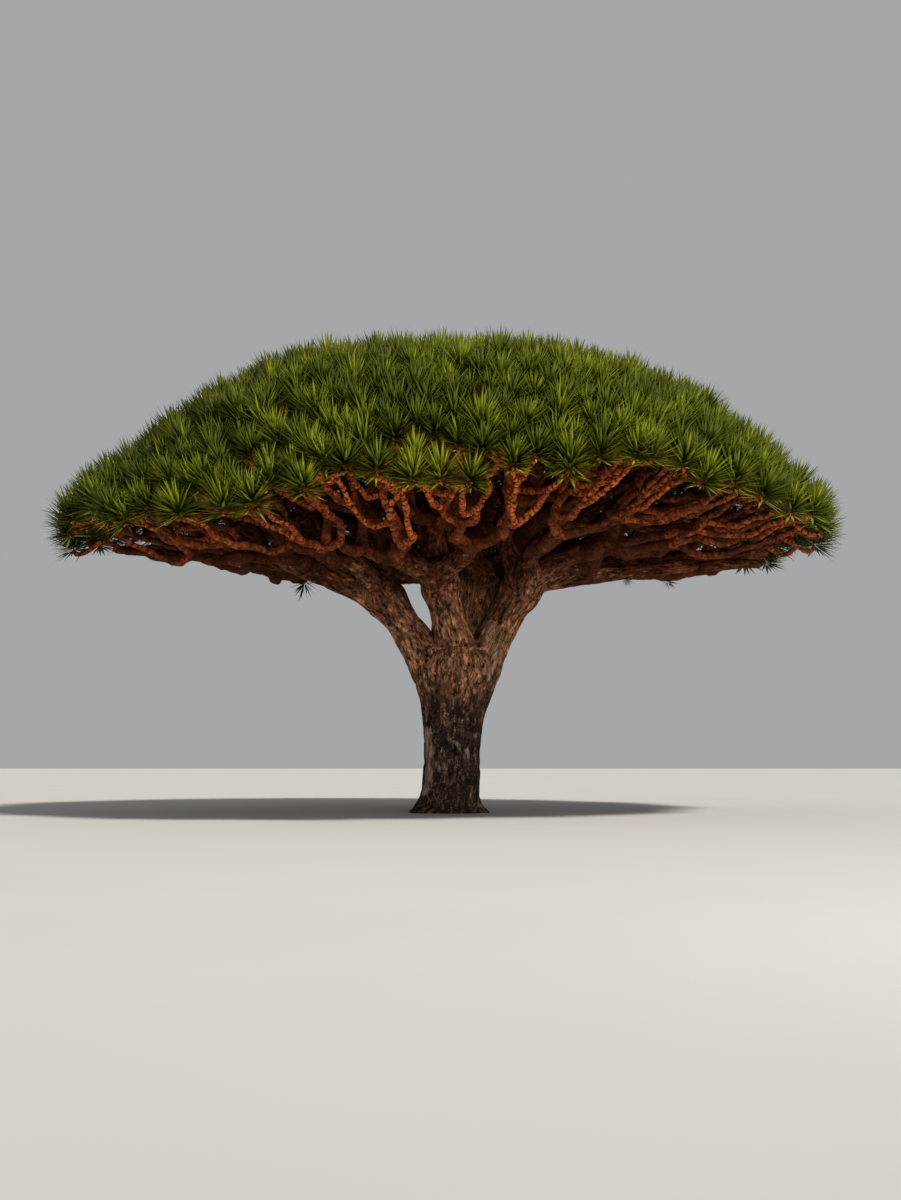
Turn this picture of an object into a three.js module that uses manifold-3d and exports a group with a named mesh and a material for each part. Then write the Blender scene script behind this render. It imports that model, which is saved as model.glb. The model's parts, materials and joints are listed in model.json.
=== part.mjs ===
// A dragon blood tree: one stout trunk, a fork into five rising stems, boughs that spread like
// the ribs of an umbrella, and a domed crown of stiff, sword-leaved tufts on twigs that fork
// again and again. Millimetres, +Z up, origin on the flat cut under the trunk.
// -Y is the near side of the tree and +X its right. Bearings are in degrees from +X.
import * as THREE from "three";
import { mergeVertices } from "three/addons/utils/BufferGeometryUtils.js";
import Module from "manifold-3d";

const wasm = await Module();
wasm.setup();

// The dome on which the tufts are rooted. A power of 2 would make it a parabola: a higher one
// is flatter on top and steeper at the rim.
const CROWN = { radius: 5950, reachesLeft: 70, top: 7120, rim: 4450, power: 2.6 };
const RIM_TILT = 120; // the right of the rim is higher by this, the left lower
const RIM_WAVES = [
  { lift: -380, bearing: -115, spread: 28 },
  { lift: 150, bearing: -62, spread: 20 },
  { lift: -300, bearing: 30, spread: 35 },
];

// The trunk's half width: a slim waist, a flared foot, and a head that spreads from a height.
const TRUNK = { top: 2760, waist: 440, lean: 0.04, footCentre: -30, depth: 0.95, sides: 14, rings: 9 };
const RINGS_CROWD = 1.5; // over 1, the rings stand closer together at the foot, where the flare is
const FOOT_FLARE = { width: 200, height: 170 };
const HEAD = { width: 405, from: 1300, over: 1200, power: 1.6, roundFrom: 2200, closes: 0.9 };
const RIBS = { count: 3, depth: 0.035, turn: 0.8 };

// The stems of the fork: how far out each leaves the trunk, and where it splits into boughs.
const STEM_ROOT_HEIGHT = 2300;
const STEM_BEND = { out: 0.42, up: 0.52 }; // as shares of the way from root to end
const STEM = { taper: 0.2, closesFrom: 0.8, closes: 0.7, sides: 9, rings: 5 };
const STEMS = [
  { name: "stem_left", bearing: 180, root: 330, out: 1160, height: 3560, thick: 320 },
  { name: "stem_near", bearing: -108, rootBearing: -30, root: 190, out: 660, height: 3720, thick: 310 },
  { name: "stem_right", bearing: 0, root: 500, out: 1230, height: 3700, thick: 320 },
  { name: "stem_middle", bearing: 32, root: 440, out: 730, height: 3900, thick: 260 },
  { name: "stem_far", bearing: 93, root: 230, out: 1080, height: 3680, thick: 300 },
];

// The masses of foliage, one on top and two rings, with the share of the radius where each is.
const RINGS = [
  { name: "top", count: 1, out: 0, turn: 0 },
  { name: "shoulder", count: 6, out: 0.5, turn: 20 },
  { name: "rim", count: 12, out: 0.85, turn: 8 },
];
const MASS_SWAY = { around: 0.24, outwards: 0.05 };

// The line from the fork to a point of the crown, and where limbs end and fork along it.
const HUB = new THREE.Vector3(0, 0, 3200);
const SHOULDER = { out: 0.33, height: 3900, liftAtTop: 500, followsRim: 0.5 };
const LAST_STRETCH = 1000;
const BOUGH = { leavesStemAt: 0.88, end: 0.37, root: 185, tip: 118, collar: 40, sides: 7, rings: 4 };
const FIRST_FORK = 0.43;
const TWIG = { radius: 58, neck: 50, stemSides: 6 };
const CLEARANCE = 0.35;

// The tufts: pointed leaves, low and high in turn, round one that stands straight up. Between
// them the leaves are joined for a share of their length.
const TUFTS = 260;
const TUFT_SWAY = 200; // how far a tuft may stand out of its place, in all
const TUFT_GAP = 6; // what stays free between the leaves of two tufts
const LEAF = { length: 500, upright: 430, points: 6, lowRise: 8, highRise: 42, foot: 0.52, footRise: 28 };

const radians = THREE.MathUtils.degToRad;

// The same number from 0 to 1 for the same seed, every time.
function chance(seed) {
  const long = Math.sin(seed * 12.9898 + 4.1414) * 43758.5453;
  return long - Math.floor(long);
}

function polar(out, bearing, height) {
  return new THREE.Vector3(out * Math.cos(bearing), out * Math.sin(bearing), height);
}

// The crown's surface
function rimHeight(bearing) {
  let height = CROWN.rim + RIM_TILT * Math.cos(bearing);
  for (const wave of RIM_WAVES) {
    const turn = THREE.MathUtils.euclideanModulo(bearing - radians(wave.bearing), 2 * Math.PI);
    const apart = Math.min(turn, 2 * Math.PI - turn) / radians(wave.spread);
    height += wave.lift * Math.exp(-(apart ** 2));
  }
  return height;
}

// A point of the crown at a share of its radius, with the direction that faces out of it.
function crownAt(out, bearing) {
  const radius = CROWN.radius - CROWN.reachesLeft * Math.cos(bearing);
  const rise = CROWN.top - rimHeight(bearing);
  const slope = ((rise * CROWN.power) / radius) * out ** (CROWN.power - 1);
  return {
    point: polar(out * radius, bearing, CROWN.top - rise * out ** CROWN.power),
    facing: polar(slope, bearing, 1).normalize(),
  };
}

// The share of the radius inside which a share of the dome's surface lies.
const AREA_STEPS = 400;
const areaInside = [0];
for (let i = 0; i < AREA_STEPS; i++) {
  const out = (i + 0.5) / AREA_STEPS;
  const slope = (((CROWN.top - CROWN.rim) * CROWN.power) / CROWN.radius) * out ** (CROWN.power - 1);
  areaInside.push(areaInside[i] + out * Math.hypot(1, slope));
}
function outForArea(share) {
  const wanted = share * areaInside[AREA_STEPS];
  const i = areaInside.findIndex((area) => area >= wanted);
  return (i - (areaInside[i] - wanted) / (areaInside[i] - areaInside[i - 1])) / AREA_STEPS;
}

// The line a limb takes from the fork to a point of the crown: up, out under the crown, and up
// again to meet the surface square.
function pathTo({ point, facing }) {
  const out = Math.hypot(point.x, point.y) / CROWN.radius;
  const hang = SHOULDER.followsRim * (rimHeight(Math.atan2(point.y, point.x)) - CROWN.rim);
  const height = SHOULDER.height + SHOULDER.liftAtTop * (1 - out) + hang * out;
  const shoulder = new THREE.Vector3(SHOULDER.out * point.x, SHOULDER.out * point.y, height);
  const turn = point.clone().addScaledVector(facing, -LAST_STRETCH);
  return new THREE.CubicBezierCurve3(HUB, shoulder, turn, point);
}

// Solids
function solidFrom(geometry) {
  geometry.deleteAttribute("normal");
  geometry.deleteAttribute("uv");
  const merged = mergeVertices(geometry, 1e-3);
  return new wasm.Manifold(
    new wasm.Mesh({
      numProp: 3,
      vertProperties: new Float32Array(merged.attributes.position.array),
      triVerts: new Uint32Array(merged.index.array),
    }),
  );
}

// A limb along a curve, as thick as radiusAt says at each share of its length. A clearance
// makes it thicker all over and longer at both ends.
function limb(curve, radiusAt, sides, rings, clearance = 0) {
  const shape = new THREE.CylinderGeometry(1, 1, 1, sides, rings);
  const frames = curve.computeFrenetFrames(rings, false);
  const at = shape.attributes.position;
  for (let i = 0; i < at.count; i++) {
    const ring = Math.round((at.getY(i) + 0.5) * rings);
    const radius = radiusAt(ring / rings) + clearance;
    const beyond = ring === 0 ? -clearance : ring === rings ? clearance : 0;
    const place = curve
      .getPointAt(ring / rings)
      .addScaledVector(frames.binormals[ring], at.getX(i) * radius)
      .addScaledVector(frames.normals[ring], at.getZ(i) * radius)
      .addScaledVector(frames.tangents[ring], beyond);
    at.setXYZ(i, place.x, place.y, place.z);
  }
  return solidFrom(shape);
}

function trunkRadius(height) {
  const foot = FOOT_FLARE.width * Math.exp(-height / FOOT_FLARE.height);
  const head = HEAD.width * (Math.max(0, height - HEAD.from) / HEAD.over) ** HEAD.power;
  const rounding = Math.max(0, height - HEAD.roundFrom) / (TRUNK.top - HEAD.roundFrom);
  return (TRUNK.waist + foot + head) * Math.sqrt(1 - HEAD.closes * rounding ** 2);
}

function trunk(clearance = 0) {
  const shape = new THREE.CylinderGeometry(1, 1, 1, TRUNK.sides, TRUNK.rings);
  const at = shape.attributes.position;
  for (let i = 0; i < at.count; i++) {
    const ring = Math.round((at.getY(i) + 0.5) * TRUNK.rings);
    const height = TRUNK.top * (ring / TRUNK.rings) ** RINGS_CROWD;
    const bearing = Math.atan2(-at.getZ(i), at.getX(i));
    const fromAxis = Math.hypot(at.getX(i), at.getZ(i));
    const rib = 1 + RIBS.depth * Math.cos(RIBS.count * bearing + RIBS.turn);
    const place = polar(fromAxis * (trunkRadius(height) * rib + clearance), bearing, height);
    place.x += TRUNK.footCentre + TRUNK.lean * height;
    place.y *= TRUNK.depth;
    if (ring === TRUNK.rings) place.z += clearance;
    at.setXYZ(i, place.x, place.y, place.z);
  }
  return solidFrom(shape);
}

function stemCurve({ bearing, rootBearing = bearing, root, out, height }) {
  const start = polar(root, radians(rootBearing), STEM_ROOT_HEIGHT);
  const end = polar(out, radians(bearing), height);
  const bend = start.clone().lerp(end, STEM_BEND.out);
  bend.z = THREE.MathUtils.lerp(start.z, end.z, STEM_BEND.up);
  return new THREE.QuadraticBezierCurve3(start, bend, end);
}

// A stem tapers, and closes in past the place where its boughs leave it.
function stem(description, clearance = 0) {
  const pastForks = (along) => Math.max(0, along - STEM.closesFrom) / (1 - STEM.closesFrom);
  const closing = (along) => Math.sqrt(1 - STEM.closes * pastForks(along) ** 2);
  const radiusAt = (along) => description.thick * (1 - STEM.taper * along) * closing(along);
  return limb(stemCurve(description), radiusAt, STEM.sides, STEM.rings, clearance);
}

// The masses, each with the place where its bough ends
function masses() {
  return RINGS.flatMap((ring, ringNumber) =>
    Array.from({ length: ring.count }, (_, i) => {
      const seed = 100 * ringNumber + i;
      const sway = ring.count > 1 ? (chance(seed) - 0.5) * MASS_SWAY.around : 0;
      const bearing = radians(ring.turn) + ((i + sway) / ring.count) * 2 * Math.PI;
      const outwards = (chance(seed + 50) - 0.5) * MASS_SWAY.outwards;
      const out = ring.count > 1 ? ring.out + outwards : 0;
      const middle = crownAt(out, bearing);
      const path = pathTo(middle);
      return {
        name: ring.count > 1 ? `${ring.name}_${String(i + 1).padStart(2, "0")}` : ring.name,
        middle,
        foot: path.getPoint(BOUGH.end),
        footFacing: path.getTangent(BOUGH.end),
        tufts: [],
      };
    }),
  );
}

// A bough leaves the nearest stem between that stem's direction and its own.
function bough(mass, clearance = 0) {
  const far = (description) => stemCurve(description).getPoint(1).distanceTo(mass.foot);
  const parent = STEMS.reduce((best, other) => (far(other) < far(best) ? other : best));
  const start = stemCurve(parent).getPoint(BOUGH.leavesStemAt);
  const onwards = mass.foot.clone().sub(start).normalize();
  const leaving = stemCurve(parent).getTangent(BOUGH.leavesStemAt).add(onwards).normalize();
  const reach = start.distanceTo(mass.foot) / 3;
  const curve = new THREE.CubicBezierCurve3(
    start,
    start.clone().addScaledVector(leaving, reach),
    mass.foot.clone().addScaledVector(mass.footFacing, -reach),
    mass.foot,
  );
  const radiusAt = (along) =>
    THREE.MathUtils.lerp(BOUGH.root, BOUGH.tip, along) + BOUGH.collar * (1 - along) ** 4;
  return limb(curve, radiusAt, BOUGH.sides, BOUGH.rings, clearance);
}

// The tufts stand on the dome in a sunflower's order, each a little out of place. Each belongs
// to the mass whose middle is nearest, and its leaves stop half way to the next tuft.
function placeTufts(all) {
  const goldenTurn = Math.PI * (3 - Math.sqrt(5));
  const tufts = Array.from({ length: TUFTS }, (_, i) => {
    const place = outForArea((i + 0.5) / TUFTS);
    const sway = TUFT_SWAY / CROWN.radius;
    const turn = i * goldenTurn + ((chance(i + 300) - 0.5) * sway) / place;
    const tuft = crownAt(Math.min(1, place + (chance(i + 0.5) - 0.5) * sway), turn);
    const away = (mass) => mass.middle.point.distanceTo(tuft.point);
    all.reduce((best, mass) => (away(mass) < away(best) ? mass : best)).tufts.push(tuft);
    return tuft;
  });
  for (const tuft of tufts) {
    const apart = tufts.map((other) => other.point.distanceTo(tuft.point));
    tuft.reach = (Math.min(...apart.filter((distance) => distance > 0)) - TUFT_GAP) / 2;
  }
}

function meanOf(tufts) {
  const point = new THREE.Vector3();
  const facing = new THREE.Vector3();
  for (const tuft of tufts) {
    point.addScaledVector(tuft.point, 1 / tufts.length);
    facing.add(tuft.facing);
  }
  return { point, facing: facing.normalize() };
}

// Splits a group of tufts in two across its longest side.
function halves(tufts) {
  const { point } = meanOf(tufts);
  const spread = (axis) => tufts.reduce((sum, tuft) => sum + (tuft.point[axis] - point[axis]) ** 2, 0);
  const longest = ["x", "y", "z"].reduce((a, b) => (spread(b) > spread(a) ? b : a));
  const sorted = [...tufts].sort((a, b) => a.point[longest] - b.point[longest]);
  const middle = Math.ceil(sorted.length / 2);
  return [sorted.slice(0, middle), sorted.slice(middle)];
}

// The skin of a mass: rings of corners, joined by faces that look outwards. A ring runs
// anticlockwise as seen from its twig's tip.
class Skin {
  corners = [];
  faces = [];

  corner(place) {
    return this.corners.push(place) - 1;
  }

  centreOf(ring) {
    const sum = new THREE.Vector3();
    for (const i of ring) sum.addScaledVector(this.corners[i], 1 / ring.length);
    return sum;
  }

  // A new ring with as many corners as the last, turned so that the wood between doesn't twist.
  ringAfter(last, centre, axis, radius) {
    const towardsFirst = this.corners[last[0]].clone().sub(this.centreOf(last));
    const side = towardsFirst.projectOnPlane(axis).normalize();
    const across = axis.clone().cross(side);
    return last.map((_, i) => {
      const turn = (i / last.length) * 2 * Math.PI;
      const place = centre.clone().addScaledVector(side, radius * Math.cos(turn));
      return this.corner(place.addScaledVector(across, radius * Math.sin(turn)));
    });
  }

  join(last, next) {
    last.forEach((corner, i) => {
      const after = (i + 1) % last.length;
      this.faces.push(corner, last[after], next[after], corner, next[after], next[i]);
    });
  }

  // Parts a ring in two across a way, which leads from the first half to the second. A ring
  // of three first gets a fourth corner, in the wood between two of its corners.
  part(ring, way) {
    const half = Math.floor(Math.max(ring.length, 4) / 2);
    let best;
    for (let i = 0; i < ring.length; i++) {
      const turned = [...ring.slice(i), ...ring.slice(0, i)];
      const middles = ring.length === 3 ? turned.slice(1) : [turned[1], turned.at(-1)];
      const width = this.corners[middles[1]].clone().sub(this.corners[middles[0]]).dot(way);
      if (!best || width > best.width) best = { turned, width };
    }
    const around = best.turned;
    if (ring.length === 3) {
      const [, before, after] = around;
      const split = this.corner(this.centreOf([before, after]));
      this.splitEdge(before, after, split);
      around.splice(2, 0, split);
    }
    return [around.slice(0, half + 1), [...around.slice(half), around[0]]];
  }

  // The face above an edge becomes two, on either side of a new corner in that edge.
  splitEdge(before, after, split) {
    for (let i = 0; i < this.faces.length; i += 3) {
      const face = this.faces.slice(i, i + 3);
      const at = face.findIndex((corner, j) => corner === after && face[(j + 1) % 3] === before);
      if (at < 0) continue;
      const third = face[(at + 2) % 3];
      this.faces.splice(i, 3, after, split, third, split, before, third);
      return;
    }
  }

  // The leaves at a twig's end: the last ring of wood opens into a ring of points and hollows,
  // which closes again at the tip of the leaf that stands straight up.
  tuft(neck, tuft, axis) {
    const side = this.corners[neck[0]].clone().sub(tuft.point).normalize();
    const across = axis.clone().cross(side);
    const leafPoint = (turn, length, rise) => {
      const out = Math.min(length * Math.cos(radians(rise)), tuft.reach);
      const place = tuft.point.clone().addScaledVector(axis, length * Math.sin(radians(rise)));
      place.addScaledVector(side, out * Math.cos(turn));
      return this.corner(place.addScaledVector(across, out * Math.sin(turn)));
    };
    const count = 2 * LEAF.points;
    const ring = Array.from({ length: count }, (_, i) => {
      const turn = (i / count) * 2 * Math.PI;
      if (i % 2) return leafPoint(turn, LEAF.foot * LEAF.length, LEAF.footRise);
      return leafPoint(turn, LEAF.length, i % 4 ? LEAF.highRise : LEAF.lowRise);
    });
    const tip = this.corner(tuft.point.clone().addScaledVector(axis, LEAF.upright));
    ring.forEach((corner, i) => {
      const next = ring[(i + 1) % count];
      const under = neck[Math.floor((i * neck.length) / count)];
      const nextUnder = neck[Math.floor((((i + 1) % count) * neck.length) / count)];
      this.faces.push(under, next, corner, corner, next, tip);
      if (under !== nextUnder) this.faces.push(under, nextUnder, next);
    });
  }

  // Closes a ring with a flat end that faces back.
  close(ring) {
    for (let i = 1; i < ring.length - 1; i++) this.faces.push(ring[0], ring[i + 1], ring[i]);
  }

  solid() {
    const geometry = new THREE.BufferGeometry();
    const places = new Float32Array(this.corners.flatMap((corner) => corner.toArray()));
    geometry.setAttribute("position", new THREE.BufferAttribute(places, 3));
    geometry.setIndex(this.faces);
    return solidFrom(geometry);
  }
}

// One mass: a short stem on from the bough, and twigs that fork until each holds one tuft. The
// smaller the group that a fork feeds, the nearer it lies to the crown's surface.
function foliage(mass, tufts) {
  const skin = new Skin();
  function grow(ring, from, group) {
    const share = group.length / mass.tufts.length;
    if (group.length === 1) {
      const [tuft] = group;
      const axis = tuft.point.clone().sub(from).normalize().add(tuft.facing).normalize();
      const neck = skin.ringAfter(ring, tuft.point, axis, TWIG.neck);
      skin.join(ring, neck);
      skin.tuft(neck, tuft, axis);
      return;
    }
    const fork = pathTo(meanOf(group)).getPoint(1 - (1 - FIRST_FORK) * Math.sqrt(share));
    const parts = halves(group);
    const [first, second] = parts.map((part) => meanOf(part).point);
    const way = second.sub(first);
    const onwards = meanOf(group).point.sub(fork).normalize();
    const axis = fork.clone().sub(from).normalize().add(onwards).normalize();
    const radius = THREE.MathUtils.lerp(TWIG.radius, BOUGH.tip, Math.sqrt(share));
    const next = skin.ringAfter(ring, fork, axis, radius);
    skin.join(ring, next);
    skin.part(next, way).forEach((half, i) => grow(half, skin.centreOf(half), parts[i]));
  }
  const start = mass.foot.clone().addScaledVector(mass.footFacing, CLEARANCE);
  const side = new THREE.Vector3(0, 0, 1).cross(mass.footFacing);
  if (side.length() < 0.1) side.set(1, 0, 0);
  side.projectOnPlane(mass.footFacing).normalize();
  const across = mass.footFacing.clone().cross(side);
  const foot = Array.from({ length: TWIG.stemSides }, (_, i) => {
    const turn = (i / TWIG.stemSides) * 2 * Math.PI;
    const place = start.clone().addScaledVector(side, BOUGH.tip * Math.cos(turn));
    return skin.corner(place.addScaledVector(across, BOUGH.tip * Math.sin(turn)));
  });
  skin.close(foot);
  grow(foot, start, tufts);
  return skin.solid();
}

// A tuft whose twigs would touch another limb or mass is left out.
function freeTufts(mass, others) {
  const kept = [];
  for (const tuft of mass.tufts) {
    const tried = foliage(mass, [...kept, tuft]);
    if (others.every((other) => tried.intersect(other).isEmpty())) kept.push(tuft);
  }
  return kept;
}

// The tree is put together from the ground up, and each limb is cut clear of those before it.
const bark = new THREE.MeshStandardMaterial({ color: 0x6b4630, roughness: 0.95, metalness: 0 });
const youngBark = new THREE.MeshStandardMaterial({ color: 0x94502b, roughness: 0.9, metalness: 0 });
const leaves = new THREE.MeshStandardMaterial({ color: 0x45580f, roughness: 0.6, metalness: 0 });

const tree = new THREE.Group();
function plant(name, solid, material) {
  const made = solid.getMesh();
  const geometry = new THREE.BufferGeometry();
  geometry.setAttribute("position", new THREE.BufferAttribute(made.vertProperties, 3));
  geometry.setIndex(new THREE.BufferAttribute(made.triVerts, 1));
  geometry.computeVertexNormals();
  const mesh = new THREE.Mesh(geometry, material);
  mesh.name = name;
  tree.add(mesh);
}

const wood = [];
const keptClear = [];
function plantLimb(name, make, material) {
  const pieces = keptClear.reduce((left, other) => left.subtract(other), make(0)).decompose();
  const whole = pieces.reduce((best, piece) => (piece.volume() > best.volume() ? piece : best));
  plant(name, whole, material);
  wood.push(whole);
  keptClear.push(make(CLEARANCE));
}

const crown = masses();
placeTufts(crown);
plantLimb("trunk", trunk, bark);
for (const each of STEMS) plantLimb(each.name, (clearance) => stem(each, clearance), bark);
for (const mass of crown)
  plantLimb(`bough_${mass.name}`, (clearance) => bough(mass, clearance), youngBark);

const grown = [...wood];
for (const mass of crown) {
  const solid = foliage(mass, freeTufts(mass, grown));
  plant(`leaves_${mass.name}`, solid, leaves);
  grown.push(solid);
}

export default tree;
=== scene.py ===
import itertools
import json
import math

import bmesh
import bpy
import numpy as np
from mathutils import Matrix, Vector
from mathutils.bvhtree import BVHTree
from mathutils.kdtree import KDTree

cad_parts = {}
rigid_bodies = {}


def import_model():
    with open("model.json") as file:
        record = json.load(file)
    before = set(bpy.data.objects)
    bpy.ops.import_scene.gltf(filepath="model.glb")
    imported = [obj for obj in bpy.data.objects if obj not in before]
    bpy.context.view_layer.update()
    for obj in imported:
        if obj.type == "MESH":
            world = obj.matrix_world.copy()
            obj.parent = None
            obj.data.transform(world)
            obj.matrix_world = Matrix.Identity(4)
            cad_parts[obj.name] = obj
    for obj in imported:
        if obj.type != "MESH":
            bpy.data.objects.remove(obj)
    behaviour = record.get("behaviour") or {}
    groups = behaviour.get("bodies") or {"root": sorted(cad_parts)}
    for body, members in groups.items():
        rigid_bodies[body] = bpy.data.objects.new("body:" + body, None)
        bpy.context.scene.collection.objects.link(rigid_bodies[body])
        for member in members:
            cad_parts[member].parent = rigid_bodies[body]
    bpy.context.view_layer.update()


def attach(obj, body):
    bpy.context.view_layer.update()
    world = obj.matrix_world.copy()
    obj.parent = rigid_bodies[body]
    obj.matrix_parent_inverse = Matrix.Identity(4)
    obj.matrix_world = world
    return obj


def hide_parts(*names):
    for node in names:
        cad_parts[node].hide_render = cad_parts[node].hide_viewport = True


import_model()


# View, floor and light
# The tree is seen from low down and far off, with the eye at sitting height, so that the crown's
# underside shows. The floor is plain and pale, and a high, wide, soft light comes from the front.
EYE = (0, -28, 0.91)
LOOKS_UP = 5.06
LENS = 52.5
FLOOR_HALF_WIDTH = 90
FLOOR_TONES = ((0.41, 0.4, 0.38), (0.44, 0.43, 0.41))
KEY_ENERGY, KEY_SOFTNESS, KEY_TURN, KEY_COLOUR = 4.6, 9, (38, 0, 36), (1.0, 0.96, 0.88)
PANEL_ENERGY, PANEL_SIZE, PANEL_PLACE, PANEL_TURN = 760, 6, (9, -22, 4.8), (87, 0, 22)
PANEL_COLOUR = (1, 0.95, 0.88)
SKY_COLOUR, SKY_STRENGTH = (0.9, 0.92, 0.94), 0.42
DULL = 0.25  # the specular level of what has no gloss

scene = bpy.context.scene
scene.view_settings.view_transform = "Standard"
camera = bpy.data.objects.new("camera", bpy.data.cameras.new("camera"))
camera.location = EYE
camera.rotation_euler = (math.radians(90 + LOOKS_UP), 0, 0)
camera.data.lens = LENS
camera.data.clip_end = 400
scene.collection.objects.link(camera)
scene.camera = camera


def make_material(name, roughness, gloss):
    """A material, its shader and its node tree."""
    material = bpy.data.materials.new(name)
    material.use_nodes = True
    shader = material.node_tree.nodes["Principled BSDF"]
    shader.inputs["Roughness"].default_value = roughness
    shader.inputs["Specular IOR Level"].default_value = gloss
    return material, shader, material.node_tree


def feed(socket, value):
    """Gives a socket a number, a colour or what another node puts out."""
    if isinstance(value, (int, float)):
        socket.default_value = value
    elif isinstance(value, tuple):
        socket.default_value = (*value, 1)
    else:
        socket.id_data.links.new(value, socket)


def object_place(tree):
    return tree.nodes.new("ShaderNodeTexCoord").outputs["Object"]


def noise_node(tree, vector, scale, detail=2, roughness=0.5):
    node = tree.nodes.new("ShaderNodeTexNoise")
    feed(node.inputs["Vector"], vector)
    for label, number in (("Scale", scale), ("Detail", detail), ("Roughness", roughness)):
        node.inputs[label].default_value = number
    return node.outputs["Fac"]


def mix_node(tree, share, first, second, blend="MIX"):
    node = tree.nodes.new("ShaderNodeMix")
    node.data_type = "RGBA"
    node.blend_type = blend
    for label, value in (("Factor", share), ("A", first), ("B", second)):
        feed(node.inputs[label], value)
    return node.outputs["Result"]


floor_paint, shader, tree = make_material("floor_paint", 0.9, DULL)
feed(shader.inputs["Base Color"], mix_node(tree, noise_node(tree, object_place(tree), 0.4), *FLOOR_TONES))

flat = bmesh.new()
bmesh.ops.create_grid(flat, x_segments=1, y_segments=1, size=FLOOR_HALF_WIDTH)
floor_mesh = bpy.data.meshes.new("floor")
flat.to_mesh(floor_mesh)
flat.free()
floor_mesh.materials.append(floor_paint)
floor = bpy.data.objects.new("floor", floor_mesh)
scene.collection.objects.link(floor)


def add_light(name, kind, energy, colour, turn):
    light = bpy.data.objects.new(name, bpy.data.lights.new(name, kind))
    light.data.energy = energy
    light.data.color = colour
    light.rotation_euler = [math.radians(angle) for angle in turn]
    scene.collection.objects.link(light)
    return light


key_light = add_light("key_light", "SUN", KEY_ENERGY, KEY_COLOUR, KEY_TURN)
key_light.data.angle = math.radians(KEY_SOFTNESS)
panel = add_light("panel", "AREA", PANEL_ENERGY, PANEL_COLOUR, PANEL_TURN)
panel.data.size = PANEL_SIZE
panel.location = PANEL_PLACE

sky = bpy.data.worlds.new("pale_room")
sky.use_nodes = True
feed(sky.node_tree.nodes["Background"].inputs["Color"], SKY_COLOUR)
feed(sky.node_tree.nodes["Background"].inputs["Strength"], SKY_STRENGTH)
scene.world = sky


# Trunk, stems and boughs
# One stout trunk of fresh, fibrous wood forks into five rising stems, and nineteen boughs leave
# them like the ribs of an umbrella. All of it is one skin of bark: wood that has grown together,
# cracked lengthways, with knots where old limbs were lost. It ends in a flat cut at the ground.
CROWN = {"radius": 5.95, "reaches_left": 0.07, "top": 7.12, "rim": 4.45, "power": 2.6}
RIM_TILT = 0.12
RIM_WAVES = ((-0.38, -115, 28), (0.15, -62, 20), (-0.3, 30, 35))  # lift, bearing, spread

TRUNK_TOP, TRUNK_WAIST, TRUNK_LEAN, TRUNK_FOOT = 2.76, 0.44, 0.04, -0.03
FLARE_WIDTH, FLARE_HEIGHT = 0.2, 0.17
HEAD = {"width": 0.3, "from": 1.25, "over": 1.2, "power": 1.6, "round_from": 2.0, "closes": 0.97}
RIBS = {"count": 3, "depth": 0.035, "turn": 0.8, "end": 2.4}

STEM_ROOT_HEIGHT, STEM_TAPER = 2.3, 0.2
STEM_END = {"from": 0.8, "over": 0.2, "closes": 0.7}
STEM_BEND = (0.42, 0.52)  # out and up, as shares of the way from root to end
STEM_FOOT = {"height": 1.15, "inwards": 0.42, "rises": 0.5, "thickness": 0.72, "ends": 0.92}
STEMS = {  # bearing at the root, reach at the root, bearing at the end, reach, height, thickness
    "stem_left": (180, 0.33, 180, 1.16, 3.56, 0.32),
    "stem_near": (-30, 0.19, -108, 0.66, 3.72, 0.31),
    "stem_right": (0, 0.5, 0, 1.23, 3.7, 0.32),
    "stem_middle": (32, 0.44, 32, 0.73, 3.9, 0.26),
    "stem_far": (93, 0.23, 93, 1.08, 3.68, 0.3),
}

RINGS = (  # of foliage masses: a name, how many, how far out, and the bearing of the first
    ("top", 1, 0, 0),
    ("shoulder", 6, 0.5, 20),
    ("rim", 12, 0.85, 8),
)
MASS_SWAY = (0.24, 0.05)  # how far the masses are out of their places, round and outwards
HUB = np.array((0, 0, 3.2))  # the lines of all limbs start here
SHOULDER = {"out": 0.33, "height": 3.9, "lift_at_top": 0.5, "follows_rim": 0.5}
LAST_STRETCH = 1.0  # of a limb's line, which faces straight out of the crown
BOUGH = {"leaves_stem_at": 0.88, "end": 0.37, "root": 0.2, "tip": 0.118, "collar": 0.06}

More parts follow.
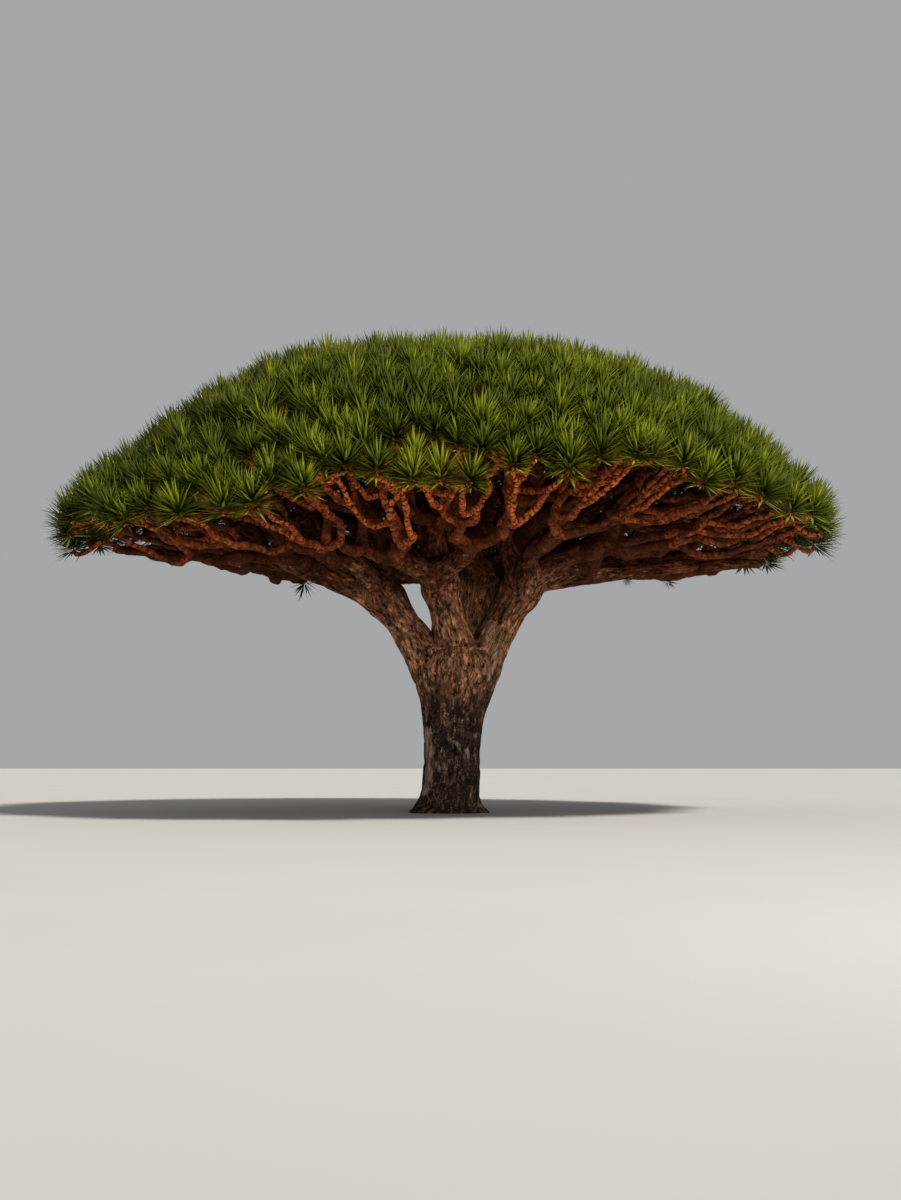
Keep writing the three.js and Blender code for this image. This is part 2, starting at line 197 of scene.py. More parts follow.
WEBS = (((0.05, 0.2, 2.3), (0.33, 0.5, 4.0)), ((0.1, 0.25, 2.3), (-0.15, 0.75, 3.9)))
WEB_LIMB = 0.2  # these close the gap between the middle stem and the far one
LIFTED_BOUGHS = {"rim_05": 0.2}  # this one runs higher, over the gap between two stems
LIFT_PEAK = 0.105  # the most that share * (1 - share) ** 3 comes to
INNER_LIMBS = (  # boughs inside the crown, behind the near ones: start, middle, end and radius
    ((-0.08, 0.8, 3.6), (-0.42, 1.0, 4.46), (-0.55, 1.1, 5.5), 0.14),
    ((-0.3, 1.15, 4.0), (-1.74, 1.0, 4.46), (-2.7, 1.1, 5.3), 0.12),
    ((0.5, 0.6, 3.6), (1.74, 1.0, 4.31), (2.4, 1.0, 5.4), 0.13),
    ((0.7, 0.6, 3.7), (2.63, 1.0, 5.3), (3.2, 1.1, 5.9), 0.1),
    ((0.8, 0.6, 3.7), (3.3, 1.0, 4.89), (4.3, 1.1, 5.4), 0.1),
    ((0.8, 0.5, 3.7), (2.9, 0.9, 4.3), (5.3, 1.0, 5.05), 0.12),
    ((-1.25, 0.2, 3.75), (-3.3, 0.5, 4.06), (-5.45, 0.3, 4.24), 0.11),
    ((0.8, 0.4, 3.6), (3.3, 0.5, 3.94), (5.1, 0.6, 4.04), 0.13),
    ((0.8, 0.6, 3.7), (3.1, 1.2, 4.16), (5.3, 1.3, 4.3), 0.12),
    ((-1.25, 0.4, 3.8), (-3.3, 1.2, 4.34), (-5.2, 1.3, 4.34), 0.12),
    ((-1.2, 0.0, 3.45), (-1.82, 0.0, 3.7), (-3.1, 0.1, 4.15), 0.2),
)
INNER_TAPER = (1.2, 0.6)  # the share of its radius that an inner limb starts with, and loses
BARK_STRENGTH = {"trunk": 1.0, "stem": 0.8, "bough": 0.6}  # how strong the relief of its bark is
BELOW_CUT = -0.12  # the trunk starts under the ground, and is cut level with it in the end
LIMB_SIDES = 20
BARK_VOXEL, BARK_SMOOTHING = 0.0292, 4
WEB, WEB_LIMIT = 0.055, 0.09  # how far the wood swells where two limbs meet
SHELTER_RAYS, SHELTER_SPREAD, SHELTER_START, SHELTER_REACH = 8, 0.95, 0.015, 0.7
HOLLOW_SMOOTHING = 2
ODD_WAY = (0.31, 0.83, 0.46)  # a direction in which no limb sets out


def chance(seed):
    """The same number from 0 to 1 for the same seed, every time."""
    long = math.sin(seed * 12.9898 + 4.1414) * 43758.5453
    return long - math.floor(long)


def polar(out, bearing, height):
    return np.array((out * math.cos(bearing), out * math.sin(bearing), height))


def unit(way):
    return way / np.linalg.norm(way)


def rim_height(bearing):
    height = CROWN["rim"] + RIM_TILT * math.cos(bearing)
    for lift, middle, spread in RIM_WAVES:
        turn = (bearing - math.radians(middle)) % (2 * math.pi)
        apart = min(turn, 2 * math.pi - turn) / math.radians(spread)
        height += lift * math.exp(-(apart**2))
    return height


def crown_at(out, bearing):
    """A point of the crown at a share of its radius, and the direction that faces out of it."""
    radius = CROWN["radius"] - CROWN["reaches_left"] * math.cos(bearing)
    rise = CROWN["top"] - rim_height(bearing)
    slope = rise * CROWN["power"] / radius * out ** (CROWN["power"] - 1)
    point = polar(out * radius, bearing, CROWN["top"] - rise * out ** CROWN["power"])
    return point, unit(polar(slope, bearing, 1))


def path_to(point, facing):
    """The line from the fork to a point of the crown, as the four points of a curve."""
    out = math.hypot(point[0], point[1]) / CROWN["radius"]
    hang = SHOULDER["follows_rim"] * (rim_height(math.atan2(point[1], point[0])) - CROWN["rim"])
    height = SHOULDER["height"] + SHOULDER["lift_at_top"] * (1 - out) + hang * out
    shoulder = np.array((SHOULDER["out"] * point[0], SHOULDER["out"] * point[1], height))
    return HUB, shoulder, point - LAST_STRETCH * facing, point


def on_curve(ends, share):
    rest = 1 - share
    a, b, c, d = ends
    return rest**3 * a + 3 * rest**2 * share * b + 3 * rest * share**2 * c + share**3 * d


def heading(ends, share):
    rest = 1 - share
    a, b, c, d = ends
    return unit(rest**2 * (b - a) + 2 * rest * share * (c - b) + share**2 * (d - c))


def stem_curve(name):
    root_bearing, root, bearing, out, height, _ = STEMS[name]
    start = polar(root, math.radians(root_bearing), STEM_ROOT_HEIGHT)
    end = polar(out, math.radians(bearing), height)
    bend = start + (end - start) * np.array((STEM_BEND[0], STEM_BEND[0], STEM_BEND[1]))
    return start, start + (bend - start) * 2 / 3, end + (bend - end) * 2 / 3, end


def trunk_radius(height):
    foot = FLARE_WIDTH * np.exp(-height / FLARE_HEIGHT)
    head = HEAD["width"] * (np.maximum(0, height - HEAD["from"]) / HEAD["over"]) ** HEAD["power"]
    rounding = np.maximum(0, height - HEAD["round_from"]) / (TRUNK_TOP - HEAD["round_from"])
    return (TRUNK_WAIST + foot + head) * np.sqrt(1 - HEAD["closes"] * rounding**2)


# The masses of foliage: a name, the middle of each on the crown, and where its bough ends.
masses = []
for ring_number, (ring, count, ring_out, turn) in enumerate(RINGS):
    for i in range(count):
        seed = 100 * ring_number + i
        sway = (chance(seed) - 0.5) * MASS_SWAY[0] if count > 1 else 0
        bearing = math.radians(turn) + (i + sway) / count * 2 * math.pi
        out = ring_out + (chance(seed + 50) - 0.5) * MASS_SWAY[1] if count > 1 else 0
        middle, facing = crown_at(out, bearing)
        line = path_to(middle, facing)
        name = f"{ring}_{i + 1:02d}" if count > 1 else ring
        foot, foot_heading = on_curve(line, BOUGH["end"]), heading(line, BOUGH["end"])
        masses.append({"name": name, "middle": middle, "foot": foot, "heading": foot_heading})


def bough_curve(mass):
    """A bough leaves the nearest stem between that stem's direction and its own."""
    curves = [stem_curve(name) for name in STEMS]
    parent = min(curves, key=lambda curve: np.linalg.norm(curve[3] - mass["foot"]))
    start = on_curve(parent, BOUGH["leaves_stem_at"])
    onwards = unit(mass["foot"] - start)
    leaving = unit(heading(parent, BOUGH["leaves_stem_at"]) + onwards)
    reach = np.linalg.norm(mass["foot"] - start) / 3
    return start, start + leaving * reach, mass["foot"] - mass["heading"] * reach, mass["foot"]


def frames_along(path):
    """Across, up and forward at each point of a path, without any twist."""
    forward = np.gradient(path, axis=0)
    forward /= np.linalg.norm(forward, axis=1)[:, None]
    across = np.empty_like(path)
    side = np.cross(forward[0], ODD_WAY)
    for n, way in enumerate(forward):
        side = side - way * side.dot(way)
        side = side / np.linalg.norm(side)
        across[n] = side
    return across, np.cross(forward, across), forward


def rough(places, seed=0):
    """Smooth random heights from -1 to 1, with a hill or a hollow in about every unit."""
    cell = np.floor(places).astype(np.int64)
    part = places - cell
    part = part * part * (3 - 2 * part)
    height = np.zeros(len(places))
    for corner in itertools.product((0, 1), repeat=3):
        x, y, z = (cell + corner).T
        mixed = (x * 73856093) ^ (y * 19349663) ^ (z * 83492791) ^ (seed * 2654435761)
        mixed = (mixed ^ (mixed >> 13)) * 1274126177
        value = ((mixed ^ (mixed >> 16)) & 0xFFFF) / 0xFFFF
        height += value * np.prod(np.where(corner, part, 1 - part), axis=1)
    return 2 * height - 1


def sweep(wood, path, radii, sides):
    """Pulls a round end of wood along a path, ring by ring, and closes it."""
    ring = bmesh.ops.create_circle(wood, cap_ends=True, radius=1, segments=sides)["verts"]
    edges = list({edge for corner in ring for edge in corner.link_edges})
    across, up, forward = frames_along(path)
    last = Matrix.Identity(4)
    for centre, radius, a, b, c in zip(path, radii, across, up, forward):
        turned = Matrix((a, b, c)).transposed().to_4x4()
        here = Matrix.Translation(Vector(centre)) @ turned @ Matrix.Scale(radius, 4)
        if last != Matrix.Identity(4):
            pulled = bmesh.ops.extrude_edge_only(wood, edges=edges)["geom"]
            ring = [each for each in pulled if isinstance(each, bmesh.types.BMVert)]
            edges = [each for each in pulled if isinstance(each, bmesh.types.BMEdge)]
        bmesh.ops.transform(wood, matrix=here @ last.inverted(), verts=ring)
        last = here
    bmesh.ops.contextual_create(wood, geom=edges)


def one_skin(mesh, voxel, smoothing, kept):
    """One closed skin over all the overlapping limbs of a mesh, with a share of its faces kept."""
    rough_cut = bpy.data.objects.new("rough_cut", mesh)
    scene.collection.objects.link(rough_cut)
    skin = rough_cut.modifiers.new("skin", "REMESH")
    skin.mode = "VOXEL"
    skin.voxel_size = voxel
    soften = rough_cut.modifiers.new("soften", "SMOOTH")
    soften.factor = 0.5
    soften.iterations = smoothing
    if kept < 1:
        rough_cut.modifiers.new("thin_out", "DECIMATE").ratio = kept
    graph = bpy.context.evaluated_depsgraph_get()
    made = bpy.data.meshes.new_from_object(rough_cut.evaluated_get(graph))
    bpy.data.objects.remove(rough_cut)
    bpy.data.meshes.remove(mesh)
    return made


def places_and_normals(mesh):
    places, normals = np.empty(len(mesh.vertices) * 3), np.empty(len(mesh.vertices) * 3)
    mesh.vertices.foreach_get("co", places)
    mesh.vertex_normals.foreach_get("vector", normals)
    return places.reshape(-1, 3), normals.reshape(-1, 3)


def hollows(mesh, places, normals, rounds):
    """How far each place lies below the mean of its neighbours, smoothed."""
    ends = np.empty(len(mesh.edges) * 2, dtype=np.int32)
    mesh.edges.foreach_get("vertices", ends)
    a, b = ends.reshape(-1, 2).T
    count = np.maximum(1, np.bincount(np.concatenate((a, b)), minlength=len(places)))

    def spread(values):
        return (np.bincount(a, values[b], len(count)) + np.bincount(b, values[a], len(count))) / count

    wide = places
    for _ in range(rounds):
        wide = np.stack([spread(wide[:, k]) for k in range(3)], axis=1)
    depth = ((wide - places) * normals).sum(1)
    for _ in range(HOLLOW_SMOOTHING):
        depth = spread(depth)
    return depth


def shelter(mesh, places, normals):
    """How much stands round each place: the share of rays spread about its normal that meet bark."""
    body = bmesh.new()
    body.from_mesh(mesh)
    bark = BVHTree.FromBMesh(body)
    body.free()
    ways = np.random.default_rng(5).normal(size=(SHELTER_RAYS, 3))
    ways /= np.linalg.norm(ways, axis=1)[:, None]
    starts = (places + SHELTER_START * normals).tolist()
    met = np.zeros(len(places))
    for way in ways:
        rays = normals + SHELTER_SPREAD * way
        rays /= np.linalg.norm(rays, axis=1)[:, None]
        hits = (bark.ray_cast(start, ray, SHELTER_REACH) for start, ray in zip(starts, rays.tolist()))
        met += [face is not None for _, _, face, _ in hits]
    return met / SHELTER_RAYS


def ramp(values, low, high, most):
    """Nothing up to the low value, 1 at the high one, and never more than the most."""
    return np.clip((values - low) / (high - low), 0, most)


def set_attribute(mesh, name, values):
    """Gives each corner of a mesh its value, or its vector, under a name that a material reads."""
    kind, field = ("FLOAT", "value") if values.ndim == 1 else ("FLOAT_VECTOR", "vector")
    mesh.attributes.new(name, kind, "POINT").data.foreach_set(field, values.ravel())


def add_piece(name, mesh, materials, replaced=()):
    """A finished piece of the tree, which rides on the root and may stand for CAD nodes."""
    for material in materials:
        mesh.materials.append(material)
    mesh.name = name
    piece = bpy.data.objects.new(name, mesh)
    scene.collection.objects.link(piece)
    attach(piece, "root")
    if replaced:
        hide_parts(*replaced)


# Each limb of the trunk piece: its centre line, its radii, and how strong its bark's relief is.
big_limbs = []
heights = np.concatenate((np.linspace(BELOW_CUT, 0.3, 8), np.linspace(0.4, TRUNK_TOP, 22)))
trunk_line = np.stack((TRUNK_FOOT + TRUNK_LEAN * heights, 0 * heights, heights), axis=1)
big_limbs.append((trunk_line, trunk_radius(np.maximum(0, heights)), BARK_STRENGTH["trunk"]))
for name, (*_, thick) in STEMS.items():
    share = np.linspace(0, 1, 18)
    rounding = np.maximum(0, share - STEM_END["from"]) / STEM_END["over"]
    closing = np.sqrt(1 - STEM_END["closes"] * rounding**2)
    line = on_curve(stem_curve(name), share[:, None])
    root, rising = line[0], heading(stem_curve(name), 0) * STEM_FOOT["rises"]
    foot = np.array((*(root[:2] * STEM_FOOT["inwards"]), STEM_FOOT["height"]))
    inside = np.linspace(0, STEM_FOOT["ends"], 10)
    ends = (foot, foot + np.array((0, 0, STEM_FOOT["rises"])), root - rising, root)
    line = np.concatenate((on_curve(ends, inside[:, None]), line))
    swelling = STEM_FOOT["thickness"] + (1 - STEM_FOOT["thickness"]) * inside
    radii = thick * np.concatenate((swelling, (1 - STEM_TAPER * share) * closing))
    big_limbs.append((line, radii, BARK_STRENGTH["stem"]))
for start, end in np.array(WEBS):
    share = np.linspace(0, 1, 12)
    line = start + (end - start) * share[:, None]
    big_limbs.append((line, np.full(len(line), WEB_LIMB), BARK_STRENGTH["stem"]))
for *line, thick in INNER_LIMBS:
    share = np.linspace(0, 1, 24)
    start, middle, end = np.array(line)
    turn = 2 * middle - (start + end) / 2
    ends = (start, (start + 2 * turn) / 3, (end + 2 * turn) / 3, end)
    radii = thick * (INNER_TAPER[0] - INNER_TAPER[1] * share)
    big_limbs.append((on_curve(ends, share[:, None]), radii, BARK_STRENGTH["bough"]))
for mass in masses:
    share = np.linspace(0, 1, 20)
    thick = BOUGH["root"] + (BOUGH["tip"] - BOUGH["root"]) * share + BOUGH["collar"] * (1 - share) ** 3
    line = on_curve(bough_curve(mass), share[:, None])
    line[:, 2] += LIFTED_BOUGHS.get(mass["name"], 0) * share * (1 - share) ** 3 / LIFT_PEAK
    big_limbs.append((line, thick, BARK_STRENGTH["bough"]))

wood = bmesh.new()
for line, radii, _ in big_limbs:
    sweep(wood, line, radii, LIMB_SIDES)
bmesh.ops.recalc_face_normals(wood, faces=wood.faces)
raw = bpy.data.meshes.new("raw_wood")
wood.to_mesh(raw)
wood.free()
bark_mesh = one_skin(raw, BARK_VOXEL, BARK_SMOOTHING, 1)
places, normals = places_and_normals(bark_mesh)

BARK = {
    "head": (0.78, 0.36, 0.185),
    "limbs": (0.24, 0.068, 0.024),
    "foot": (0.19, 0.105, 0.066),
    "black": (0.011, 0.006, 0.004),
    "bare wood": (0.8, 0.42, 0.24),
    "lichen": (0.78, 0.54, 0.4),
}
NEAR, FAR = -1, 1
KNOTS = (  # scars of lost limbs: across, height, side and size
    (-0.01, 1.0, NEAR, 0.17),
    (0.1, 1.9, NEAR, 0.14),
    (0.02, 2.28, NEAR, 0.12),
    (-0.67, 2.91, NEAR, 0.1),
    (-0.37, 2.51, NEAR, 0.11),
    (-0.27, 2.13, NEAR, 0.1),
    (0.27, 1.35, NEAR, 0.1),
    (0.0, 0.58, NEAR, 0.12),
    (0.1, 0.8, FAR, 0.16),
    (-0.15, 1.7, FAR, 0.18),
    (0.3, 2.3, FAR, 0.13),
    (-0.35, 2.65, FAR, 0.12),
)
LIP_AT, LIP_WIDTH, LIP_HEIGHT = 0.85, 0.3, 0.16  # all as shares of the scar's size
HOLLOW_WIDTH, HOLLOW_DEPTH = 0.5, 0.22
GROOVE_AT, GROOVE_WIDTH = 1.25, 0.19
SCAR_UNEVENNESS, SCAR_WAVE = 0.16, 0.1
PALE = (  # smooth patches of lichen or bare wood
    (0.74, 2.5, NEAR, 0.17),
    (0.62, 2.25, NEAR, 0.1),
    (-0.38, 1.25, NEAR, 0.1),
    (-0.37, 0.95, NEAR, 0.13),
    (-0.38, 0.65, NEAR, 0.1),
    (-0.42, 0.4, NEAR, 0.08),
    (0.6, 2.9, NEAR, 0.12),
    (0.3, 0.9, NEAR, 0.06),
    (0.2, 1.2, FAR, 0.2),
    (-0.2, 2.2, FAR, 0.15),
)
PATCH_DEPTH, PATCH_STRETCH = 0.4, 1.7  # a patch is longer than it is wide by this factor
AIM = 0.04  # a scar or patch lies this near its width and height
BARK_WAVES = {  # how wide and how long each kind is
    "crack": (0.15, 0.55),
    "fibre": (0.075, 0.3),
    "lump": (0.3, 0.4),
    "plate": (0.055, 0.08),
}
CRACK_DEPTH, FIBRE_HEIGHT, LUMP_HEIGHT, PLATE_HEIGHT = 0.022, 0.012, 0.028, 0.009
CRACK_WIDTH = 0.13
GRAIN_SHIFT = 7.3  # keeps the grain of one limb from matching another's
LIMB_SAMPLES = 90
LIMB_REACH = 0.35  # a limb gives its relief to places up to this far from its surface,
BOX_MARGIN = 0.8  # and only within the box of its centre line, made this much wider


def on_side(across, height, side):
    """The place on the skin that shows from the near or far side at this width and height."""
    beside = np.abs(places[:, 0] - across) < AIM
    level = np.abs(places[:, 2] - height) < AIM
    aim = np.flatnonzero(beside & level)
    return places[aim[(side * places[aim, 1]).argmax()]]


def bark_relief(across, up, along, seed):
    """Heights of cracked bark, and how deep in a crack each place is, from 0 to 1."""
    near_crack, fibres, lumps, plates = (
        rough(np.stack((across / width, up / width, along / length), axis=1), seed + number)
        for number, (width, length) in enumerate(BARK_WAVES.values())
    )
    cracks = np.exp(-((near_crack / CRACK_WIDTH) ** 2))
    relief = LUMP_HEIGHT * lumps - CRACK_DEPTH * cracks + FIBRE_HEIGHT * fibres + PLATE_HEIGHT * plates
    return relief, 0.5 * cracks


# Every place on the skin takes its relief from the limbs that it is nearest to.
nearness = np.zeros(len(places))
relief = np.zeros(len(places))
depth = np.zeros(len(places))
grain = np.zeros((len(places), 3))
closest = np.zeros(len(places))
for number, (line, radii, strength) in enumerate(big_limbs):
    fine_share = np.linspace(0, 1, LIMB_SAMPLES)
    coarse = np.linspace(0, 1, len(line))
    centres = np.stack([np.interp(fine_share, coarse, line[:, k]) for k in range(3)], axis=1)
    thick = np.interp(fine_share, coarse, radii)
    low, high = centres.min(0) - BOX_MARGIN, centres.max(0) + BOX_MARGIN
    near = np.flatnonzero(((places > low) & (places < high)).all(1))
    away = np.linalg.norm(places[near][:, None] - centres[None], axis=2)
    nearest = away.argmin(1)
    gap = away[np.arange(len(near)), nearest] - thick[nearest]
    close = gap < LIMB_REACH
    near, nearest, gap = near[close], nearest[close], gap[close]
    across, up, forward = frames_along(centres)
    off = places[near] - centres[nearest]
    lengths = np.concatenate(([0], np.cumsum(np.linalg.norm(np.diff(centres, axis=0), axis=1))))
    local_across = (off * across[nearest]).sum(1)
    local_up = (off * up[nearest]).sum(1)
    local_along = lengths[nearest] + (off * forward[nearest]).sum(1)
    height, crack = bark_relief(local_across, local_up, local_along, 10 * number)
    if number == 0:
        bearing = np.arctan2(off[:, 1], off[:, 0])
        ribs = np.cos(RIBS["count"] * bearing + RIBS["turn"])
        height += RIBS["depth"] * thick[nearest] * ribs * np.clip(RIBS["end"] - places[near][:, 2], 0, 1)
    weight = np.exp(-gap / WEB)
    nearness[near] += weight
    relief[near] += weight * height * strength
    depth[near] += weight * crack
    first = weight > closest[near]
    closest[near[first]] = weight[first]
    here = np.stack((local_across, local_up, local_along), axis=1)
    grain[near[first]] = here[first] + GRAIN_SHIFT * number
relief /= np.maximum(nearness, 1e-6)
depth /= np.maximum(nearness, 1e-6)
webbing = WEB * np.log(np.maximum(1, nearness))

# A scar is a hollow painted black as shade, then a lip painted pale in places as a highlight, then a
# groove painted dark as shade, none quite round.
pale_and_highlit = np.zeros(len(places))
uneven = rough(places / SCAR_WAVE, 8)
for *aim, size in KNOTS:
    away = np.linalg.norm(places - on_side(*aim), axis=1) / size
    away = away * (1 + SCAR_UNEVENNESS * uneven)
    hollow = np.exp(-((away / HOLLOW_WIDTH) ** 2))
    lip = np.exp(-(((away - LIP_AT) / LIP_WIDTH) ** 2))
    groove = np.exp(-(((away - GROOVE_AT) / GROOVE_WIDTH) ** 2)) * np.clip(0.75 - 0.5 * uneven, 0, 0.9)
    relief += size * (LIP_HEIGHT * lip - HOLLOW_DEPTH * hollow)
    depth = np.maximum(depth * (1 - 0.7 * lip), np.maximum(0.98 * hollow, groove))
    pale_and_highlit = np.maximum(pale_and_highlit, lip * np.clip(0.42 + 0.4 * uneven, 0, 0.6))
for *aim, size in PALE:
    away = (places - on_side(*aim)) / (size, PATCH_DEPTH, PATCH_STRETCH * size)
    pale_and_highlit = np.maximum(pale_and_highlit, np.exp(-((away**2).sum(1))))

# Painted shade: places in hollows between limbs, and places that other bark shelters, are darkened
# through the crack attribute along with the real cracks.
depth = np.maximum(depth, ramp(hollows(bark_mesh, places, normals, 6), 0.003, 0.015, 0.95))
depth = np.maximum(depth, ramp(shelter(bark_mesh, places, normals), 0.4, 0.9, 0.9))
places = places + normals * (np.minimum(webbing, WEB_LIMIT) + relief)[:, None]
bark_mesh.vertices.foreach_set("co", places.ravel())
set_attribute(bark_mesh, "crack", depth)
set_attribute(bark_mesh, "pale", pale_and_highlit)
set_attribute(bark_mesh, "grain", grain)

cut = bmesh.new()
cut.from_mesh(bark_mesh)
everything = cut.verts[:] + cut.edges[:] + cut.faces[:]
below = bmesh.ops.bisect_plane(
    cut, geom=everything, plane_co=(0, 0, 0), plane_no=(0, 0, -1), clear_outer=True
)
rim_edges = [each for each in below["geom_cut"] if isinstance(each, bmesh.types.BMEdge)]
bmesh.ops.contextual_create(cut, geom=rim_edges)
cut.to_mesh(bark_mesh)
cut.free()
bark_mesh.polygons.foreach_set("use_smooth", [True] * len(bark_mesh.polygons))


def make_group(name, inputs, outputs):
    """A shader group with its sockets, and its first and last node."""
    group = bpy.data.node_groups.new(name, "ShaderNodeTree")
    for sockets, way in ((inputs, "INPUT"), (outputs, "OUTPUT")):
        for label, kind in sockets.items():
            group.interface.new_socket(label, in_out=way, socket_type="NodeSocket" + kind)
    return group, group.nodes.new("NodeGroupInput").outputs, group.nodes.new("NodeGroupOutput").inputs


def place_group(tree, group):
    node = tree.nodes.new("ShaderNodeGroup")
    node.node_tree = group
    return node


def range_node(tree, value, low, high, to_low, to_high):
    node = tree.nodes.new("ShaderNodeMapRange")
    feed(node.inputs["Value"], value)
    for label, number in zip(("From Min", "From Max", "To Min", "To Max"), (low, high, to_low, to_high)):
        node.inputs[label].default_value = number
    return node.outputs["Result"]


def math_node(tree, operation, first, second=0):
    node = tree.nodes.new("ShaderNodeMath")
    node.operation = operation
    feed(node.inputs[0], first)
    feed(node.inputs[1], second)
    return node.outputs["Value"]


def attribute_node(tree, name, output):
    node = tree.nodes.new("ShaderNodeAttribute")
    node.attribute_name = name
    return node.outputs[output]


def height_of(tree, vector):
    node = tree.nodes.new("ShaderNodeSeparateXYZ")
    feed(node.inputs["Vector"], vector)
    return node.outputs["Z"]


def stretched(tree, vector, scale):
    node = tree.nodes.new("ShaderNodeVectorMath")
    node.operation = "MULTIPLY"
    feed(node.inputs[0], vector)
    node.inputs[1].default_value = scale
    return node.outputs["Vector"]


def ridge_node(tree, vector, scale, width):
    """Lines where smooth noise passes through its middle value, 1 on the line."""
    away = math_node(tree, "SUBTRACT", noise_node(tree, vector, scale, 4, 0.62), 0.5)
    return range_node(tree, math_node(tree, "ABSOLUTE", away), 0, width, 1, 0)


def toned(tree, colour, shade):
    """The colour, darker or lighter by a factor."""
    grey = tree.nodes.new("ShaderNodeCombineColor")
    for socket in grey.inputs:
        feed(socket, shade)
    return mix_node(tree, 1.0, colour, grey.outputs["Color"], "MULTIPLY")


def add_bump(tree, shader, height, strength, distance):
    bump = tree.nodes.new("ShaderNodeBump")
    bump.inputs["Strength"].default_value = strength
    bump.inputs["Distance"].default_value = distance
    feed(bump.inputs["Height"], height)
    feed(shader.inputs["Normal"], bump.outputs["Normal"])


# Bark: fibrous, split lengthways again and again, mottled, with pale and black flecks. Each noise
# has a scale, a detail and a roughness.
FIBRES, MOTTLE, PATCHES = (26, 6, 0.75), (17, 9, 0.76), (2.6, 6, 0.66)
FLECKS, BLOTCHES, FOOT_EDGE = (30, 5, 0.75), (7.5, 9, 0.76), (1.7, 4, 0.6)
LONG_SPLITS, SHORT_SPLITS = (4.5, 0.045), (13, 0.05)  # scale and width

bark_look, given, made = make_group(
    "bark_look",
    {"Colour": "Color", "Black": "Color", "Lichen": "Color", "Grain": "Vector", "Crack And Shade": "Float",
     "Lichen Share": "Float", "Dark Share": "Float", "Pale": "Float"},
    {"Color": "Color", "Height": "Float"},
)
tree = bark_look
place = object_place(tree)
along_wood = stretched(tree, given["Grain"], (1, 1, 0.2))
fibres = noise_node(tree, along_wood, *FIBRES)
mottle = noise_node(tree, stretched(tree, given["Grain"], (1, 1, 0.42)), *MOTTLE)
patches = noise_node(tree, place, *PATCHES)
flecks = noise_node(tree, place, *FLECKS)
blotches = noise_node(tree, stretched(tree, given["Grain"], (1, 1, 0.5)), *BLOTCHES)

colour = toned(tree, given["Colour"], range_node(tree, mottle, 0.41, 0.59, 0.06, 2.1))
colour = toned(tree, colour, range_node(tree, fibres, 0.38, 0.62, 0.5, 1.45))
colour = toned(tree, colour, range_node(tree, patches, 0.38, 0.62, 0.45, 1.4))

pale = range_node(tree, patches, 0.56, 0.61, 0, 0.6)
pale = math_node(tree, "MAXIMUM", pale, range_node(tree, flecks, 0.54, 0.59, 0, 0.9))
pale = math_node(tree, "MULTIPLY", pale, given["Lichen Share"])
# The pale input brings patches of lichen and bare wood and the painted highlights on scar lips.
ragged = math_node(tree, "ADD", given["Pale"], range_node(tree, mottle, 0.3, 0.7, -0.35, 0.35))
patch = range_node(tree, ragged, 0.35, 0.6, 0, 0.9)
pale = math_node(tree, "MAXIMUM", pale, patch)
lichen = toned(tree, given["Lichen"], range_node(tree, mottle, 0.38, 0.62, 0.5, 1.3))
colour = mix_node(tree, pale, colour, lichen)

black = math_node(tree, "MULTIPLY", range_node(tree, blotches, 0.53, 0.49, 0, 0.97), given["Dark Share"])
black = math_node(tree, "MULTIPLY", black, range_node(tree, patch, 0, 1, 1, 0.25))
dark = math_node(tree, "MULTIPLY", ridge_node(tree, along_wood, *SHORT_SPLITS), 0.8)
# The crack input brings real cracks and the painted shade of scars, hollows and sheltered places.
for darker in (ridge_node(tree, along_wood, *LONG_SPLITS), black, given["Crack And Shade"]):
    dark = math_node(tree, "MAXIMUM", dark, darker)
dark = math_node(tree, "MULTIPLY", dark, 0.9)
feed(made["Color"], mix_node(tree, dark, colour, given["Black"]))
bumps = math_node(tree, "ADD", mottle, math_node(tree, "MULTIPLY", fibres, 0.5))
bumps = math_node(tree, "SUBTRACT", bumps, math_node(tree, "MULTIPLY", dark, 0.8))
feed(made["Height"], bumps)

bark_paint, shader, tree = make_material("old_bark", 0.9, 0.08)
look = place_group(tree, bark_look)
place = object_place(tree)
ragged = range_node(tree, noise_node(tree, place, *FOOT_EDGE), 0.3, 0.7, -0.5, 0.5)
height = math_node(tree, "ADD", height_of(tree, place), ragged)
foot_share = range_node(tree, height, 1.5, 2.3, 1, 0)
colour = mix_node(tree, range_node(tree, height, 2.9, 3.9, 0, 1), BARK["head"], BARK["limbs"])
for label, value in {
    "Colour": mix_node(tree, foot_share, colour, BARK["foot"]),
    "Black": BARK["black"],
    "Lichen": mix_node(tree, foot_share, BARK["bare wood"], BARK["lichen"]),
    "Lichen Share": range_node(tree, foot_share, 0, 1, 0.12, 0.8),
    "Dark Share": range_node(tree, foot_share, 0, 1, 0.62, 1),
    "Pale": attribute_node(tree, "pale", "Fac"),
    "Grain": attribute_node(tree, "grain", "Vector"),
    "Crack And Shade": attribute_node(tree, "crack", "Fac"),
}.items():
    feed(look.inputs[label], value)
add_bump(tree, shader, look.outputs["Height"], 0.9, 0.05)
feed(shader.inputs["Base Color"], look.outputs["Color"])

add_piece(
    "trunk_and_boughs", bark_mesh, [bark_paint],
    ["trunk", *STEMS, *(f"bough_{mass['name']}" for mass in masses)],
)


